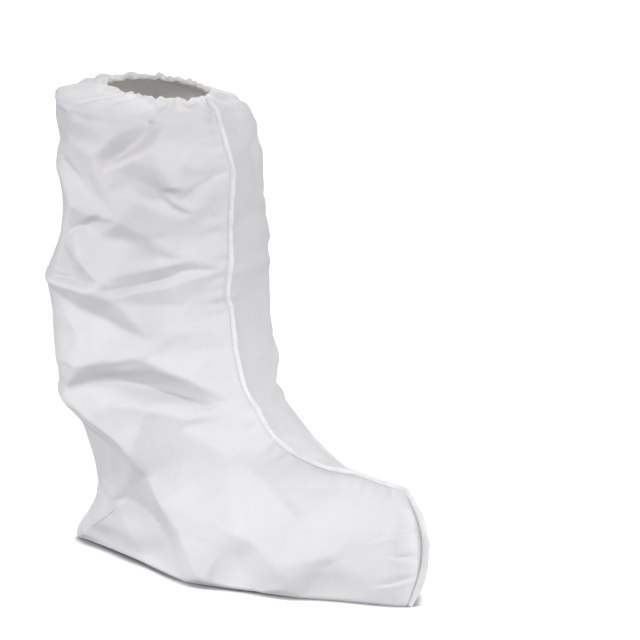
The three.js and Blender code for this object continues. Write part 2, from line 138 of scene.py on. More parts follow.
LEFT_RELIEF = {
    "rim_crest": ((-70, 440, 1), (-90, 425, 3), (-118, 398, 2)),
    "rim_valley": ((-60, 442, -2), (-80, 412, -4), (-112, 380, -2)),
    "strip_ridge": ((-48, 420, 2), (-56, 385, 6), (-58, 350, 5), (-50, 325, 0)),
    "strip_valley": ((-42, 405, -3), (-42, 370, -5), (-40, 338, -2)),
    "back_ridge": ((-160, 420, 1), (-150, 380, 4), (-158, 340, 3)),
    "back_valley": ((-132, 405, -2), (-128, 362, -4), (-138, 328, -1)),
    "side_crest": ((-196, 318, 1), (-160, 314, 2), (-120, 322, 4), (-80, 342, 2)),
    "side_valley": ((-196, 302, -3), (-150, 300, -4), (-110, 302, -5), (-66, 322, -2)),
    "calf_ledge": ((-130, 286, 2), (-84, 288, 3), (-52, 296, 1)),
    "deep_crest": ((-200, 264, 1), (-140, 264, 4), (-98, 242, 4), (-58, 208, 0)),
    "deep_foot": ((-200, 248, -3), (-140, 240, -6), (-100, 214, -5), (-58, 208, 0)),
    "ankle_top": ((-196, 208, 1), (-150, 207, 1), (-100, 200, 3), (-60, 194, 4), (-34, 184, 1)),
    "ankle_valley": ((-194, 180, -3), (-150, 178, -5), (-100, 178, -6), (-60, 172, -5), (-20, 164, -1)),
    "ankle_ledge": ((-120, 160, 2), (-70, 156, 2), (-30, 150, 1)),
    "heel_crest": ((-184, 152, 1), (-165, 150, 3), (-130, 132, 6), (-98, 108, 7), (-76, 76, 6),
                   (-56, 40, 3), (-46, 12, 1)),
    "heel_under": ((-180, 132, -1), (-146, 124, -2), (-110, 98, -3), (-88, 68, -2), (-68, 34, 0)),
    "heel_valley": ((-188, 84, -5), (-160, 80, -6), (-130, 60, -10), (-104, 44, -8), (-84, 20, -3)),
    "heel_low": ((-180, 8, -2), (-140, 4, -3), (-100, 3, -2)),
    "arch_crest": ((8, 62, 1), (46, 48, 4), (78, 28, 4), (96, 12, 1)),
    "arch_under": ((-4, 42, -2), (26, 28, -3), (58, 12, -1)),
    "foot_side": ((-30, 140, 1), (10, 114, 0), (100, 70, 0), (130, 40, 0)),
    "back_line": ((-170, 450, 0), (-198, 402, 0), (-196, 318, 1), (-196, 302, -3), (-201, 264, 1),
                  (-201, 248, -3), (-196, 208, 1), (-194, 180, -3), (-184, 152, 1), (-180, 132, -1),
                  (-188, 84, -5), (-208, 0, -2)),
    "sole_line": ((-208, 0, -2), (-112, -1, -2), (-30, -1, 0), (50, -1, -1), (100, -1, 0), (200, -1, 0)),
}
CREASE_ROUNDING = 1           # times that the relief is evened out
RELIEF_SCALE = 1.6            # how much stronger the relief is than its tables say
FLATNESS = 0.85               # how far the facets lie in their own planes, not on the round form
MOST_FLAT = 6.0               # and the most that this pulls the cloth in
FLAT_FROM = 434               # height below which the facets begin, under the shoulder
FLAT_FADE = 22                # and the height over which they do
CORNER_REACH = 0.01           # corners of creases nearer than this are one
CROSSING_REACH = 0.1          # a corner nearer than this to a crease lies on it

# The small folds are lines on the side elevation through three points (x, z). Above its line, on
# its left, the cloth stands out by lift and fades over above; below it the cloth drops to -sink
# within edge and fades over below. soft is 1 where the sides are flat facets and 2 where they
# curve. The fold dies away over fade_in and fade_out of its length.
FOLD_COLUMNS = ("x0", "z0", "x1", "z1", "x2", "z2",
                "lift", "sink", "above", "below", "edge", "soft", "fade_in", "fade_out")
RIGHT_FOLDS = {
    "flap_tail": (-62, 378, -48, 362, -34, 347, 1.5, 2.5, 6, 8, 3, 1, 0.3, 0.3),
    "thin_crease": (-46, 421, -43, 397, -35, 370, -2, 2, 6, 6, 0, 1.2, 0.2, 0.4),
    "side_crease": (-165, 316, -128, 336, -96, 356, -2.4, 2.4, 5, 5, 0, 1.2, 0.1, 0.4),
    "back_crease": (-170, 402, -145, 380, -120, 360, -2.2, 2.2, 6, 6, 0, 1.2, 0.3, 0.4),
    "mid_crease": (-106, 282, -80, 284, -40, 295, 1, 2.4, 5, 7, 3, 1, 0.1, 0.4),
    "deep_edge": (-200, 284, -150, 283, -108, 279, 1, 2, 6, 8, 3, 1, 0.05, 0.3),
    "ankle_edge": (-76, 186, -44, 176, -16, 165, 1, 2.5, 6, 8, 3, 1, 0.4, 0.1),
    "heel_edge": (-160, 160, -116, 143, -84, 122, 1.2, 3, 8, 9, 3, 1, 0.25, 0.35),
    "instep_crease": (38, 96, 80, 101, 140, 103, -1.5, 1.5, 6, 8, 0, 1.5, 0.3, 0.3),
    "toe_pucker_a": (196, 68, 172, 63, 146, 53, 2, 2, 8, 8, 3, 1.5, 0, 0.6),
    "toe_pucker_b": (198, 40, 186, 44, 170, 45, 2, 2, 8, 8, 3, 1.5, 0, 0.6),
    "toe_pucker_c": (196, 23, 180, 19, 160, 15, 1, 2, 8, 8, 3, 1.5, 0, 0.6),
}
LEFT_FOLDS = {
    "strip_crease": (-86, 354, -66, 346, -44, 336, -2, 2, 6, 6, 0, 1.2, 0.2, 0.3),
    "side_crease": (-130, 300, -88, 311, -62, 336, -1.5, 1.5, 8, 8, 0, 1.5, 0.3, 0.3),
    "toe_pucker_a": (196, 70, 174, 66, 150, 58, 2, 2, 8, 8, 3, 1.5, 0, 0.6),
    "toe_pucker_b": (198, 44, 186, 40, 168, 36, 2, 2, 8, 8, 3, 1.5, 0, 0.6),
}
FOLD_STEPS = 12               # steps along a fold's curved line

# Gathers below the hem, the same on each side: share of the way round from the front seam, height
# at the rim, how far down it reaches, and how far round it drifts.
GATHERS = (
    (0.056, 3.7, 34, 0),
    (0.189, 3.1, 38, -0.005),
    (0.245, 0.9, 26, 0.009),
    (0.29, -4.5, 62, 0.03),
    (0.415, 2.1, 46, -0.014),
    (0.494, 4.0, 19, 0.018),
    (0.593, 2.3, 51, -0.021),
    (0.754, 0.8, 16, 0.025),
    (0.804, 2.9, 52, -0.027),
    (0.956, 3.8, 17, 0.029),
)
GATHER_WIDTH = 0.035
# Small pleats that the elastic draws up on each side. They vary from one to the next: middle
# value, how far it varies, how fast, and from where.
PLEATS = 23
PLEAT_PLACE = (0.5, 0.34, 2.4, 0)       # within its share of the rim
PLEAT_HEIGHT = (1.1, 0.6, 1.7, 1)
PLEAT_RUN = (13, 8, 2.9, 0)             # how far down it reaches
PLEAT_DRIFT = (0, 0.01, 3.3, 0)         # how far round it drifts
PLEAT_WIDTH = 0.42                      # share of the way to the next pleat
# Small creases of no particular cause on each side, picked at random within these ranges.
STRAY_CREASES = 45
STRAY_SEED = 11
STRAY_ON_LEG = 0.6                      # share of them on the leg; the others are on the foot
STRAY_LEG = (-190, -25, 150, 435)       # x from and to, z from and to
STRAY_FOOT = (-150, 180, 8, 100)
STRAY_TURN = (-0.25, 0.55)              # mean and spread of their slopes, in radians
STRAY_HALF = (14, 38)                   # half of their lengths
STRAY_BOW = 0.15                        # most that they curve, as a share of that half
STRAY_HEIGHT = (0.4, 1.2)
STRAY_WIDTH = (5, 16)                   # how far their two sides reach
STRAY_SOFT = 1.1
STRAY_FADE = 0.35
EDGE_FADE = 0.05              # share of a panel beside a seam where folds die away
TOE_FADE = 0.01               # and share of its length at the toe end
RIM_FADE = 0.004              # and at the rim

ROWS = 340                    # steps of the finished cloth from the rim down to the toe end
COLUMNS = 112                 # steps from the front seam round to the back or sole line
SIM_STEP = 2                  # the simulated cloth has every second row and column

CLOTH = 0.4                   # thickness of the cloth
FLOOR_CLEARANCE = 0.05        # the cloth stays this far above the floor

SEAM_STEP = 1.6               # step along the seam
SEAM_STEPS = 8                # steps across a layer of it
SEAM_CLOTH = 0.8              # thickness of its pressed cloth, as a share of the panels'
SEAM_REACH = 4.6              # how far the standing seam stands out
SEAM_UNDER = 0.4              # share of that which lies inside, under its root
SEAM_GAP = 0.36               # between the middles of its two layers at the stitches
SEAM_LEAN = 1.0               # how far it leans to the left for each step out, but not at the toe
LEAN_FADE = 60                # how far from the toe the lean comes in
TOE_REACH = 3.1               # how much further it stands out round the toe
TOE_CORNERS = 3.0             # how short the two ends of that flange are
TOE_FLANGE_END = 1.04         # where it ends, as a share of the way down the toe
SEAM_EVENING = 4              # times that its line is evened out before it stands on it
# Waves along a line: height, rate and start of each, and then swings of the same three.
SEAM_WAVE = ((0.8, 1 / 9.5, 0),)
SEAM_SWELL = ((1, 1 / 41, 1),)          # over which that first wave comes and goes
SEAM_RIPPLES = ((0.45, 1 / 3.7, 0.8), (0.25, 1 / 1.9, 0, (2, 1 / 13, 0)))
SEAM_PARTING = 0.25           # how far a layer's free edge parts from the other's
HEM_BULGES = ((0.7, 31, 0, (1.4, 3, 0), (0.8, 7, 1)), (0.6, 17, 0, (2, 2, 2)), (0.3, 53, 0, (2, 5, 0)))
HEM_RISES = ((0.5, 23, 0, (1.2, 4, 0)), (0.7, 9, 1), (0.4, 41, 0, (1, 3, 0)))

PUCKER = 0.7                  # height of the puckers beside the seam
PUCKER_REACH = 9.0            # how far from the seam they are highest
PUCKER_FADE = 30              # and how far from it they die away
PUCKER_START = 20             # how far below the rim they begin
GROOVE_WIDTH = 2.6            # width of the groove beside the seam
GROOVE_LEFT = 0.4             # share of its depth on the left
LIP_PLACE, LIP_WIDTH = 3.6, 1.6         # the swelling beyond it, in widths of the groove
LIP_HEIGHT = 0.35             # and as a share of its depth
# Where the seam wanders to the left, and how deep the groove to its right is: z, sideways, groove.
SEAM_KINKS = ((445, 0, 0.2), (405, -1, 0.2), (384, 2, 0.2), (340, -1, 0.2), (297, 0.5, 0.3),
              (288, -1, 1.1), (262, -4, 1.2), (248, 1.5, 0.8), (238, 2, 0.3), (200, 0, 0.2),
              (160, -1, 0.2), (120, 0, 0.2), (100, 0, 0.2), (0, 0, 0.2))
KINK_REACH = 14.0             # how far beside the seam the cloth follows it

STITCH_PITCH = 4.6
STITCH_START = 0.7            # where the first one lies, in pitches below the rim
STITCH_LENGTH = 3.0
STITCH_WIDTH = 0.9
STITCH_OUT = 1.3              # from the seam's root to the stitches
STITCH_RISE = 0.2             # from a layer's middle to the middle of the thread

HEM_COLUMNS = 560             # steps round the mouth
HEM_ROWS = 4                  # rows of the panels that the casing's skirt lies on
HEM_EVENING = 60              # times that the rim is evened out to give the casing its direction
HEM_TOP = 4.6                 # height of the elastic casing above the rim
# The casing's section, from its skirt over the panels' first rows, up the outer face, over the
# top, down the inner face and back under: row of the panels, outward, up.
HEM_SECTION = ((2.6, 0.0, 0.05), (2.5, 0.0, 0.3), (2.0, 0.0, 0.55), (1.4, 0.0, 0.9),
               (0.9, 0.0, 1.5), (0.5, 0.0, 2.4), (0.25, 0.0, 3.5), (0.05, -0.1, 4.3),
               (0.0, -0.6, 4.6), (0.0, -1.1, 4.3), (0.0, -1.4, 3.3), (0.0, -1.5, 2.0),
               (0.0, -1.4, 0.6), (0.0, -1.1, -0.6), (0.0, -0.7, -0.9), (0.0, -0.2, -0.5),
               (0.5, 0.0, 0.0), (1.5, 0.0, 0.0))


# ---- The cloth's form, worked out in millimetres ------------------------------------------------
def smooth(t):
    """From 0 to 1 as t does, with no corner at either end."""
    t = np.clip(t, 0, 1)
    return t * t * (3 - 2 * t)


def die_away(t, soft):
    """From 1 to 0 as t goes from 0 to 1, straight where soft is 1."""
    return (1 - np.clip(t, 0, 1)) ** soft


def waves(t, rows):
    """The sum of the waves in a table, read at t."""
    return sum(height * np.sin(rate * t + start + waves(t, swings))
               for height, rate, start, *swings in rows)


def distance_along(points, axis=0):
    """How far each point lies along its line, or along its row or column of a grid."""
    run = np.linalg.norm(np.diff(points, axis=axis), axis=-1).cumsum(axis=axis)
    return np.concatenate([0 * run.take([0], axis), run], axis)


def read_at(line, run, places):
    """Points of a line at places along its run."""
    return np.stack([np.interp(places, run, line[:, k]) for k in range(3)], axis=1)


def through(values, t):
    """A smooth curve through equally spaced values, read at t from 0 to their count less one."""
    v = np.asarray(values, float)
    last = len(v) - 1
    t = np.clip(np.asarray(t, float), 0, last)
    i = np.minimum(t.astype(int), last - 1)
    f = t - i
    before, a, b, after = v[np.maximum(i - 1, 0)], v[i], v[i + 1], v[np.minimum(i + 2, last)]
    if v.ndim > 1:
        f = f[:, None]
    return 0.5 * (2 * a + (b - before) * f + (2 * before - 5 * a + 4 * b - after) * f * f
                  + (3 * a - before - 3 * b + after) * f ** 3)


def section_places():
    """Where each section lies on the way down, 0 at the rim and 1 at the toe end."""
    ends = np.array([row[:4] for row in SECTIONS.values()], float)
    front = np.linalg.norm(np.diff(ends[:, :2], axis=0), axis=1)
    back = np.linalg.norm(np.diff(ends[:, 2:], axis=0), axis=1)
    places = np.concatenate([[0], np.cumsum((front + back) / 2)])
    return places / places[-1]


def seam_y(x, z):
    """The Y of the seam plane, which curves toward the right at the bottom of the toe."""
    out = np.maximum((x - TWIST_START) / (TWIST_END - TWIST_START), 0)
    low = np.clip(1 - z / TOE_HEIGHT, 0, 1)
    return -TOE_TWIST * out ** 2 * low ** 2


def base_form(down, around, side):
    """Points of one side's smooth form at every down and around place, each from 0 to 1."""
    table = np.array([list(row[:5]) + [0, *row[5 if side == RIGHT else 6], 0]
                      for row in SECTIONS.values()], float)
    at = np.interp(down, section_places(), np.arange(len(SECTIONS)))
    rows = through(table, at)
    front_x, front_z, back_x, back_z, bow = (rows[:, k, None] for k in range(5))
    back_z = np.maximum(back_z, 0)
    t = np.linspace(0, len(DEPTHS) - 1, SECTION_STEPS + 1)
    depth = np.minimum(through(DEPTHS, t) / BACK_FLAT, 1)[None, :]
    width = np.maximum(through(rows[:, 5:].T, t).T, 0)
    x = front_x + (back_x - front_x) * depth + bow * np.sin(np.pi * depth)
    z = front_z + (back_z - front_z) * depth
    if side == LEFT:
        drops = through([LEFT_DROP.get(name, 0) for name in SECTIONS], at)
        z = z - drops[:, None] * np.sin(np.pi * depth)
    points = np.stack([x, side * width + seam_y(x, z), z], axis=2)
    lengths = distance_along(points, 1)
    lengths /= lengths[:, -1:]
    return np.array([read_at(row, length, around) for row, length in zip(points, lengths)])


def normals_of(form, side):
    """Outward unit normals of a grid of points."""
    normal = np.cross(np.gradient(form, axis=0), np.gradient(form, axis=1)) * side
    return normal / np.maximum(np.linalg.norm(normal, axis=2, keepdims=True), VERY_TINY)


def fold_height(x, z, row):
    """How far one fold pushes the cloth out at places on the side elevation."""
    fold = dict(zip(FOLD_COLUMNS, row))
    start, middle, end = np.reshape(row[:6], (3, 2)).astype(float)
    control = 2 * middle - 0.5 * (start + end)
    t = np.linspace(0, 1, FOLD_STEPS + 1)[:, None]
    line = (1 - t) ** 2 * start + 2 * t * (1 - t) * control + t * t * end
    reached = distance_along(line)
    nearest = np.full(x.shape, np.inf)
    offset = np.zeros(x.shape)
    along = np.zeros(x.shape)
    for k in range(len(line) - 1):
        step = line[k + 1] - line[k]
        f = np.clip(((x - line[k, 0]) * step[0] + (z - line[k, 1]) * step[1]) / (step @ step), 0, 1)
        away_x = x - line[k, 0] - f * step[0]
        away_z = z - line[k, 1] - f * step[1]
        distance = np.hypot(away_x, away_z)
        closer = distance < nearest
        signed = np.where(step[0] * away_z - step[1] * away_x >= 0, distance, -distance)
        nearest = np.where(closer, distance, nearest)
        offset = np.where(closer, signed, offset)
        along = np.where(closer, reached[k] + f * (reached[k + 1] - reached[k]), along)
    along /= reached[-1]
    fade_in, fade_out, steep = (max(fold[name], TINY) for name in ("fade_in", "fade_out", "edge"))
    ends = smooth(along / fade_in) * smooth((1 - along) / fade_out)
    lift, sink, edge, soft = fold["lift"], fold["sink"], fold["edge"], fold["soft"]
    above = lift * die_away(offset / fold["above"], soft)
    drop = lift - (lift + sink) * smooth(-offset / steep)
    floor = -sink if edge or lift <= 0 else lift
    below = floor * die_away((-offset - edge) / fold["below"], soft)
    return ends * np.where(offset >= 0, above, np.where(-offset < edge, drop, below))


def crease_net(relief):
    """The triangles between one side's creases, each as three corners of (x, z, height)."""
    corners, heights, edges, number = [], [], [], {}
    front = [(row[0], row[1], 0) for row in SECTIONS.values()]
    for crease in [*relief.values(), front]:
        for k, (x, z, height) in enumerate(crease):
            if (x, z) not in number:
                number[x, z] = len(corners)
                corners.append(Vector((x, z)))
                heights.append(height)
            if k:
                edges.append((number[crease[k - 1][:2]], number[x, z]))
    made = delaunay_2d_cdt(corners, edges, [], 0, CORNER_REACH)
    places, triangles, sources = made[0], made[2], made[3]

    def height_at(k):
        """A corner's height; where two creases cross, that of the one drawn first."""
        if sources[k]:
            return heights[sources[k][0]]
        for a, b in edges:
            step = corners[b] - corners[a]
            share = (places[k] - corners[a]).dot(step) / step.length_squared
            if 0 < share < 1 and (corners[a] + step * share - places[k]).length < CROSSING_REACH:
                return heights[a] + (heights[b] - heights[a]) * share
        return 0

    return [[(*places[k], height_at(k)) for k in triangle] for triangle in triangles]


def relief_height(form, side):
    """How far the facets between one side's creases push the cloth out from its smooth form."""
    x, z, width = form[:, :, 0], form[:, :, 2], form[:, :, 1] * side
    below = smooth((FLAT_FROM - z) / FLAT_FADE)

    def width_at(corner_x, corner_z):
        """How wide the smooth form is at a corner."""
        away = (x - corner_x) ** 2 + (z - corner_z) ** 2
        return width.flat[np.argmin(np.where(below > 0, away, np.inf))]

    out = np.zeros(x.shape)
    flat = width.copy()
    for triangle in crease_net(RIGHT_RELIEF if side == RIGHT else LEFT_RELIEF):
        (ax, az, ha), (bx, bz, hb), (cx, cz, hc) = triangle
        wa, wb, wc = (width_at(*corner[:2]) for corner in triangle)
        spread = (bx - ax) * (cz - az) - (cx - ax) * (bz - az)
        fb = ((x - ax) * (cz - az) - (cx - ax) * (z - az)) / spread
        fc = ((bx - ax) * (z - az) - (x - ax) * (bz - az)) / spread
        inside = (fb >= 0) & (fc >= 0) & (fb + fc <= 1)
        out[inside] = (ha + (hb - ha) * fb + (hc - ha) * fc)[inside]
        flat[inside] = (wa + (wb - wa) * fb + (wc - wa) * fc)[inside]
    pulled = (flat - width) * np.abs(normals_of(form, side)[:, :, 1]) / MOST_FLAT
    out = RELIEF_SCALE * out + FLATNESS * MOST_FLAT * np.tanh(pulled) * below
    return evened(out[:, :, None], CREASE_ROUNDING)[:, :, 0]


def gather_height(around, drop):
    """How far the gathers push the cloth out; drop is the distance below the rim."""
    height = np.zeros(drop.shape)
    for place, tall, run, lean in GATHERS:
        q = np.clip(drop / run, 0, 1)
        off = (around - place - lean * q) / GATHER_WIDTH
        height += tall * np.exp(-off ** 2) * (1 - q) ** 1.5
    return height


def varied(k, middle, spread, rate, start):
    """What a measure of the pleats is for the one numbered k."""
    return middle + spread * math.sin(rate * k + start)


def pleat_height(around, drop):
    """The same for the small pleats, which run on into the hem."""
    height = np.zeros(drop.shape)
    for k in range(PLEATS):
        q = np.clip(drop / varied(k, *PLEAT_RUN), 0, 1)
        place = (k + varied(k, *PLEAT_PLACE)) / PLEATS + varied(k, *PLEAT_DRIFT) * q
        off = (around - place) * PLEATS / PLEAT_WIDTH
        height += varied(k, *PLEAT_HEIGHT) * np.exp(-off ** 2) * (1 - q) ** 1.3
    return height


def stray_folds(side):
    """Rows of the fold table for small random creases, the same each run."""
    pick = np.random.RandomState(STRAY_SEED + side)
    rows = []
    for _ in range(STRAY_CREASES):
        left, right, low, high = STRAY_LEG if pick.rand() < STRAY_ON_LEG else STRAY_FOOT
        x, z = pick.uniform(left, right), pick.uniform(low, high)
        turn = pick.normal(*STRAY_TURN)
        half = pick.uniform(*STRAY_HALF)
        bow = pick.uniform(-STRAY_BOW, STRAY_BOW) * half
        dx, dz = half * math.cos(turn), half * math.sin(turn)
        height = pick.uniform(*STRAY_HEIGHT) * (1 if pick.rand() < 0.5 else -1)
        above, below = pick.uniform(*STRAY_WIDTH, 2)
        rows.append((x - dx, z - dz, x - bow * math.sin(turn), z + bow * math.cos(turn), x + dx, z + dz,
                     height, -height, above, below, 0, STRAY_SOFT, STRAY_FADE, STRAY_FADE))
    return rows


def seam_kink(z, column):
    """How far the seam wanders, or how deep its groove is, at heights z."""
    table = np.array(SEAM_KINKS[::-1], float)
    return np.interp(z, table[:, 0], table[:, column])


def kinked(form):
    """The form with the cloth beside the seam following the seam's wandering."""
    away = distance_along(form, 1)
    form = form.copy()
    form[:, :, 1] += seam_kink(form[:, :1, 2], 1) * np.exp(-(away / KINK_REACH) ** 2)
    return form


def pucker_height(form, side):
    """Small puckers that the stitching draws up beside the front seam."""
    run, away = distance_along(form[:, 0])[:, None], distance_along(form, 1)
    fine = waves(run, ((1, 1 / 2.1, 0, (2, 1 / 31, side)),))
    coarse = waves(run, ((0.7, 1 / 4.3, 0, (1.5, 1 / 19, 2 * side)),))
    wave = fine * (0.6 + waves(run, ((0.4, 1 / 23, 0),))) + coarse
    nearby = away / PUCKER_REACH
    fade = np.exp(1 - nearby - (away / PUCKER_FADE) ** 2) * smooth(run / PUCKER_START)
    depth = seam_kink(form[:, :1, 2], 2) * (1 if side == RIGHT else GROOVE_LEFT)
    widths = away / GROOVE_WIDTH
    groove = np.exp(-(widths - 1) ** 2) * smooth(widths)
    lip = np.exp(-((widths - LIP_PLACE) / LIP_WIDTH) ** 2)
    return PUCKER * wave * nearby * fade + depth * (LIP_HEIGHT * lip - groove)


def panel_places():
    """The down and around places of a panel's points."""
    return np.linspace(0, 1, ROWS + 1)[:, None], np.linspace(0, 1, COLUMNS + 1)[None, :]


def still_edges(down, around):
    """0 at a panel's edges and 1 away from them."""
    return smooth(np.minimum(around, 1 - around) / EDGE_FADE) * smooth((1 - down) / TOE_FADE)


def gathered_form(side):
    """One side's form with its gathers and small folds."""
    down, around = panel_places()
    form = base_form(down[:, 0], around[0], side)
    drop = form[:1, :, 2] - form[:, :, 2]
    height = gather_height(around, drop)
    folds = RIGHT_FOLDS if side == RIGHT else LEFT_FOLDS
    for row in [*folds.values(), *stray_folds(side)]:
        height += fold_height(form[:, :, 0], form[:, :, 2], row)
    height *= smooth(down / RIM_FADE)
    height += pleat_height(around, drop)
    height *= still_edges(down, around)
    height += pucker_height(form, side)
    form = form + normals_of(form, side) * height[:, :, None]
    form[:, :, 2] = np.maximum(form[:, :, 2], 0)
    return form


def creased(form, side):
    """The same form with its large creases laid into it."""
    down, around = panel_places()
    base = base_form(down[:, 0], around[0], side)
    height = relief_height(base, side) * smooth(down / RIM_FADE) * still_edges(down, around)
    form = kinked(form + normals_of(base, side) * height[:, :, None])
    form[:, :, 2] = np.maximum(form[:, :, 2], 0)
    return form


def evened(values, times):
    """Values on a grid, each evened out with its neighbours the given number of times."""
    for _ in range(times):
        for axis in (0, 1):
            place = np.arange(values.shape[axis])
            before = values.take(np.maximum(place - 1, 0), axis)
            after = values.take(np.minimum(place + 1, place[-1]), axis)
            values = 0.5 * values + 0.25 * (before + after)
    return values


def finer(values):
    """Values on the simulated cloth's grid, spread over the finished cloth's grid."""
    for axis, count in ((0, ROWS), (1, COLUMNS)):
        t = np.arange(count + 1) / SIM_STEP
        i = np.minimum(t.astype(int), values.shape[axis] - 2)
        shape = [1, 1, 1]
        shape[axis] = -1
        f = (t - i).reshape(shape)
        values = values.take(i, axis) * (1 - f) + values.take(i + 1, axis) * f
    return values


# ---- Making pieces ----------------------------------------------------------------------------
MERGE = 0.02                  # points nearer than this become one


def deselect():
    bpy.ops.object.select_all(action="DESELECT")


def choose(piece):
    deselect()
    piece.select_set(True)
    bpy.context.view_layer.objects.active = piece


def start_edit(piece):
    """Open a piece for editing with its whole mesh selected."""
    choose(piece)
    bpy.ops.object.mode_set(mode="EDIT")
    bpy.ops.mesh.select_all(action="SELECT")


def end_edit():
    bpy.ops.object.mode_set(mode="OBJECT")


def cloth_grid(name, points):
    """A grid of cloth laid on the given points, its rows running down, with its map in metres."""
    rows, columns = points.shape[:2]
    deselect()
    bpy.ops.mesh.primitive_grid_add(x_subdivisions=columns - 1, y_subdivisions=rows - 1, size=1)
    piece = bpy.context.object
    piece.name = piece.data.name = name
    piece.data.vertices.foreach_set("co", (points * MM).reshape(-1).astype(np.float32))
    along = distance_along(points, 0).mean(axis=1)
    places = np.stack([distance_along(points, 1), np.repeat(along[:, None], columns, 1)], axis=2)
    corner = np.empty(len(piece.data.loops), np.int32)
    piece.data.loops.foreach_get("vertex_index", corner)
    flat = (places.reshape(-1, 2) * MM)[corner].astype(np.float32)
    piece.data.uv_layers.active.data.foreach_set("uv", flat.reshape(-1))
    piece.data.update()
    return piece


def apply_all(piece):
    choose(piece)
    for modifier in list(piece.modifiers):
        bpy.ops.object.modifier_apply(modifier=modifier.name)


def mend(piece, closed=False):
    """Merge doubled vertices and, on a closed piece, turn every face outwards."""
    start_edit(piece)
    bpy.ops.mesh.remove_doubles(threshold=MERGE * MM)
    if closed:
        bpy.ops.mesh.normals_make_consistent(inside=False)
    end_edit()


def turn_over(piece):
    start_edit(piece)
    bpy.ops.mesh.flip_normals()
    end_edit()


def thicken(piece, thickness, offset):
    """Give a sheet its wall: inwards where offset is -1, to both sides where it is 0."""
    wall = piece.modifiers.new("wall", "SOLIDIFY")
    wall.thickness = thickness * MM
    wall.offset = offset
    apply_all(piece)


def joined(pieces, name):
    choose(pieces[0])
    for piece in pieces:
        piece.select_set(True)
    bpy.ops.object.join()
    pieces[0].name = pieces[0].data.name = name
    return pieces[0]


def shade_smooth(piece):
    choose(piece)
    bpy.ops.object.shade_smooth()


# ---- Cloth simulation -------------------------------------------------------------------------
# The cut has a little more cloth than the form holds, so it buckles into small creases between the
# folds that are laid into it.
EXCESS = 0.012                # share by which the cut is longer than the form
HOLD = 0.1                    # how firmly the cloth is held to its form, away from the seams
MOST_MOVE = 5                 # farthest that a point may move from its form
SIM_FRAMES = 24
EVENING = 6                   # times that the moves are evened out, so that only large ones stay
RESTING = 0.5                 # cloth that starts lower than this stays on the floor
CLOTH_SETTINGS = {
    "quality": 5, "mass": 0.05, "tension_stiffness": 80, "compression_stiffness": 80,
    "shear_stiffness": 40, "bending_stiffness": 30, "tension_damping": 8, "compression_damping": 8,
    "shear_damping": 8, "bending_damping": 1, "air_damping": 4, "vertex_group_mass": "hold",
    "pin_stiffness": 1.0, "shrink_min": -EXCESS, "shrink_max": -EXCESS,
}
CLOTH_GRAVITY = 0.05          # share of gravity that it feels, since it stands by its own stiffness


def sewn_faces():
    """Faces of both sides as one cloth, and each side's vertex numbers; the seams share theirs."""
    rows, columns = ROWS // SIM_STEP + 1, COLUMNS // SIM_STEP + 1
    right = np.arange(rows * columns).reshape(rows, columns)
    left = right + rows * columns
    left[:, 0], left[:, -1], left[-1] = right[:, 0], right[:, -1], right[-1]
    faces = []
    for grid, flip in ((right, False), (left, True)):
        quads = np.stack([grid[:-1, :-1], grid[1:, :-1], grid[1:, 1:], grid[:-1, 1:]], axis=2)
        quads = quads.reshape(-1, 4)
        faces.append(quads if flip else quads[:, ::-1])
    return np.concatenate(faces), right, left


def hang_cloth(points, faces, hold):
    """The sewn cloth as an object, held by each point's share of hold."""
    used = np.unique(faces)
    number = np.full(len(points), -1)
    number[used] = np.arange(len(used))
    mesh = bpy.data.meshes.new("sewn_cloth")
    mesh.from_pydata(points[used].tolist(), [], number[faces].tolist())
    cloth = bpy.data.objects.new("sewn_cloth", mesh)
    bpy.context.collection.objects.link(cloth)
    group = cloth.vertex_groups.new(name="hold")
    for weight in np.unique(hold[used]):
        group.add([int(i) for i in number[used[hold[used] == weight]]], float(weight), "REPLACE")
    modifier = cloth.modifiers.new("settle", "CLOTH")
    for setting, value in CLOTH_SETTINGS.items():
        setattr(modifier.settings, setting, value)
    modifier.settings.effector_weights.gravity = CLOTH_GRAVITY
    modifier.collision_settings.use_collision = False
    modifier.collision_settings.use_self_collision = False
    modifier.point_cache.frame_start = 1
    modifier.point_cache.frame_end = SIM_FRAMES
    return cloth, used


def run_cloth(cloth):
    """The cloth's points after it has settled."""
    scene = bpy.context.scene
    for step in range(1, SIM_FRAMES + 1):
        scene.frame_set(step)
    shown = cloth.evaluated_get(bpy.context.evaluated_depsgraph_get()).data
    moved = np.empty(len(shown.vertices) * 3, np.float32)
    shown.vertices.foreach_get("co", moved)
    scene.frame_set(1)
    bpy.data.objects.remove(cloth)
    return moved.reshape(-1, 3)


def settle(forms):
    """Both sides' points after the sewn cloth has settled from these forms."""
    faces, right, left = sewn_faces()
    coarse = {side: form[::SIM_STEP, ::SIM_STEP] for side, form in forms.items()}
    points = np.concatenate([coarse[RIGHT].reshape(-1, 3), coarse[LEFT].reshape(-1, 3)]) * MM
    rows, columns = right.shape
    row, column = np.divmod(np.arange(right.size), columns)
    seam = np.tile((column == 0) | (column == columns - 1), 2)
    rim = np.tile((row < 2) | (row == rows - 1), 2)
    hold = np.full(len(points), HOLD)
    hold[seam | rim | (points[:, 2] < RESTING * MM)] = 1
    cloth, used = hang_cloth(points, faces, hold)
    after = np.zeros(points.shape)
    after[used] = run_cloth(cloth) / MM
    down, around = panel_places()
    still = still_edges(down, around) * smooth(down / TOE_FADE)
    settled = {}
    for side, grid in ((RIGHT, right), (LEFT, left)):
        shift = after[grid] - coarse[side]
        far = np.linalg.norm(shift, axis=2, keepdims=True)
        shift = evened(shift * np.minimum(1, MOST_MOVE / np.maximum(far, TINY)), EVENING)
        settled[side] = forms[side] + finer(shift) * still[:, :, None]
        settled[side][:, :, 2] = np.maximum(settled[side][:, :, 2], 0)
    return settled


